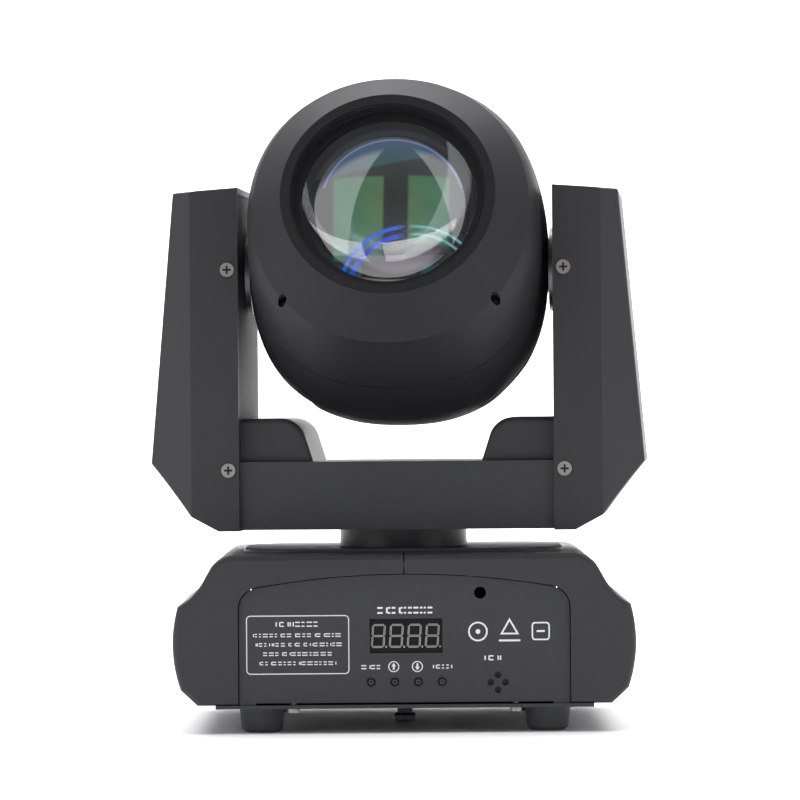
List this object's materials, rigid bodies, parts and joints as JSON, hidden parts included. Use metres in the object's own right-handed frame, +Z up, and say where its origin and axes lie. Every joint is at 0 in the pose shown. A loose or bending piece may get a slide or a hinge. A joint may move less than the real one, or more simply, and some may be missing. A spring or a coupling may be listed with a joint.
{
  "type": "moving head light",
  "caption": "Compact moving head spotlight: a lens head tilts between the arms of a yoke that pans on a footed base with a display and push buttons.",
  "frame": {"origin": "on the pan axis at the plane that the feet stand on", "axes": "+Z up along the pan axis, -Y towards the display and the lens, +X to the right of someone facing the display"},
  "size_m": [0.2152, 0.1904, 0.2754],
  "materials": {
    "shell_plastic": "fine matt texture",
    "panel_paint": "fine powder coat",
    "plate_paint": "smooth powder coat",
    "hub_paint": "satin black",
    "bearing_steel": "ground",
    "turned_aluminium": "turned",
    "belt_rubber": "matt",
    "foot_rubber": "matt",
    "screw_steel": "nickel plated",
    "motor_steel": "satin black",
    "board_green": "solder mask",
    "display_black": "gloss window",
    "button_plastic": "satin",
    "knob_plastic": "gloss",
    "capsule_metal": "plain",
    "supply_metal": "perforated case",
    "socket_plastic": "satin black",
    "socket_metal": "black plated",
    "frame_aluminium": "sheet",
    "sink_aluminium": "extruded",
    "fan_plastic": "moulded",
    "wheel_metal": "black anodised",
    "lens_glass": "polished, coated",
    "retainer_plastic": "matt black"
  },
  "bodies": {
    "base": {"base_shell_left": "shell_plastic", "base_shell_right": "shell_plastic", "front_panel": "panel_paint", "rear_panel": "panel_paint", "bottom_plate": "panel_paint", "top_disc": "shell_plastic", "bearing_frame": "frame_aluminium", "pan_bearing": "bearing_steel", "pan_belt": "belt_rubber", "pan_motor": "motor_steel", "rubber_feet": "foot_rubber", "base_screws": "screw_steel", "control_board": "board_green", "display_module": "display_black", "mic_capsule": "capsule_metal", "power_supply": "supply_metal", "main_board": "board_green", "power_inlet": "socket_plastic", "dmx_input_socket": "socket_metal", "dmx_output_socket": "socket_metal", "fuse_holder": "socket_plastic"},
    "pan_drive": {"pan_motor_pulley": "turned_aluminium"},
    "knob": {"bracket_knob": "knob_plastic"},
    "menu_key": {"button_menu": "button_plastic"},
    "up_key": {"button_up": "button_plastic"},
    "down_key": {"button_down": "button_plastic"},
    "enter_key": {"button_enter": "button_plastic"},
    "yoke": {"pan_hub": "hub_paint", "pan_pulley": "turned_aluminium", "yoke_beam": "panel_paint", "arm_cover_left": "shell_plastic", "arm_cover_right": "shell_plastic", "arm_plate_left": "plate_paint", "arm_plate_right": "plate_paint", "shoulder_cover_left": "shell_plastic", "shoulder_cover_right": "shell_plastic", "arm_screws": "screw_steel", "tilt_bearings": "bearing_steel", "tilt_motor": "motor_steel", "tilt_belt": "belt_rubber"},
    "tilt_drive": {"tilt_motor_pulley": "turned_aluminium"},
    "head": {"front_shell": "shell_plastic", "upper_shell": "shell_plastic", "lower_shell": "shell_plastic", "rear_grille": "shell_plastic", "front_lens": "lens_glass", "lens_retainer": "retainer_plastic", "head_frame": "frame_aluminium", "tilt_hub_left": "turned_aluminium", "tilt_hub_right": "turned_aluminium", "tilt_pulley": "turned_aluminium", "wheel_motors": "motor_steel", "led_module": "board_green", "heat_sink": "sink_aluminium", "fan_frame": "fan_plastic"},
    "gobo": {"gobo_wheel": "wheel_metal"},
    "colour": {"colour_wheel": "wheel_metal"},
    "fan": {"fan_rotor": "fan_plastic"},
    "focus": {"focus_carriage": "retainer_plastic", "focus_lens": "lens_glass"}
  },
  "joints": [
    {"name": "pan", "type": "hinge", "parent": "base", "child": "yoke", "pos_m": [0, 0, 0.084], "axis": [0, 0, 1], "range_deg": [-266, 274]},
    {"name": "tilt", "type": "hinge", "parent": "yoke", "child": "head", "pos_m": [0, 0, 0.195], "axis": [-0.9976, 0.0698, 0], "range_deg": [-25.5, 164.5]},
    {"name": "pan_motor_turn", "type": "hinge", "parent": "base", "child": "pan_drive", "pos_m": [-0.052, 0, 0.0585], "axis": [0, 0, 1], "range_deg": [-1331, 1371]},
    {"name": "tilt_motor_turn", "type": "hinge", "parent": "yoke", "child": "tilt_drive", "pos_m": [0.08828, -0.00617, 0.128], "axis": [-0.9976, 0.0698, 0], "range_deg": [-87.6, 564.2]},
    {"name": "knob_turn", "type": "hinge", "parent": "base", "child": "knob", "pos_m": [0, -0.068, 0.0065], "axis": [0, 0, 1], "continuous": true},
    {"name": "gobo_turn", "type": "hinge", "parent": "head", "child": "gobo", "pos_m": [-0.00126, -0.01805, 0.17401], "axis": [-0.0653, -0.9344, 0.3502], "continuous": true},
    {"name": "colour_turn", "type": "hinge", "parent": "head", "child": "colour", "pos_m": [-0.00032, -0.00456, 0.22447], "axis": [-0.0653, -0.9344, 0.3502], "continuous": true},
    {"name": "fan_spin", "type": "hinge", "parent": "head", "child": "fan", "pos_m": [0.00399, 0.057, 0.17364], "axis": [-0.0653, -0.9344, 0.3502], "continuous": true},
    {"name": "focus_slide", "type": "slide", "parent": "head", "child": "focus", "axis": [-0.0653, -0.9344, 0.3502], "range_m": [-0.022, 0.01]},
    {"name": "menu_press", "type": "slide", "parent": "base", "child": "menu_key", "axis": [0, 1, 0], "range_m": [0, 0.0006], "stiffness_N_per_m": 300},
    {"name": "up_press", "type": "slide", "parent": "base", "child": "up_key", "axis": [0, 1, 0], "range_m": [0, 0.0006], "stiffness_N_per_m": 300},
    {"name": "down_press", "type": "slide", "parent": "base", "child": "down_key", "axis": [0, 1, 0], "range_m": [0, 0.0006], "stiffness_N_per_m": 300},
    {"name": "enter_press", "type": "slide", "parent": "base", "child": "enter_key", "axis": [0, 1, 0], "range_m": [0, 0.0006], "stiffness_N_per_m": 300}
  ],
  "couplings": [
    {"joint": "pan_motor_turn", "follows": "pan", "ratio": 5},
    {"joint": "tilt_motor_turn", "follows": "tilt", "ratio": 3.4286}
  ]
}
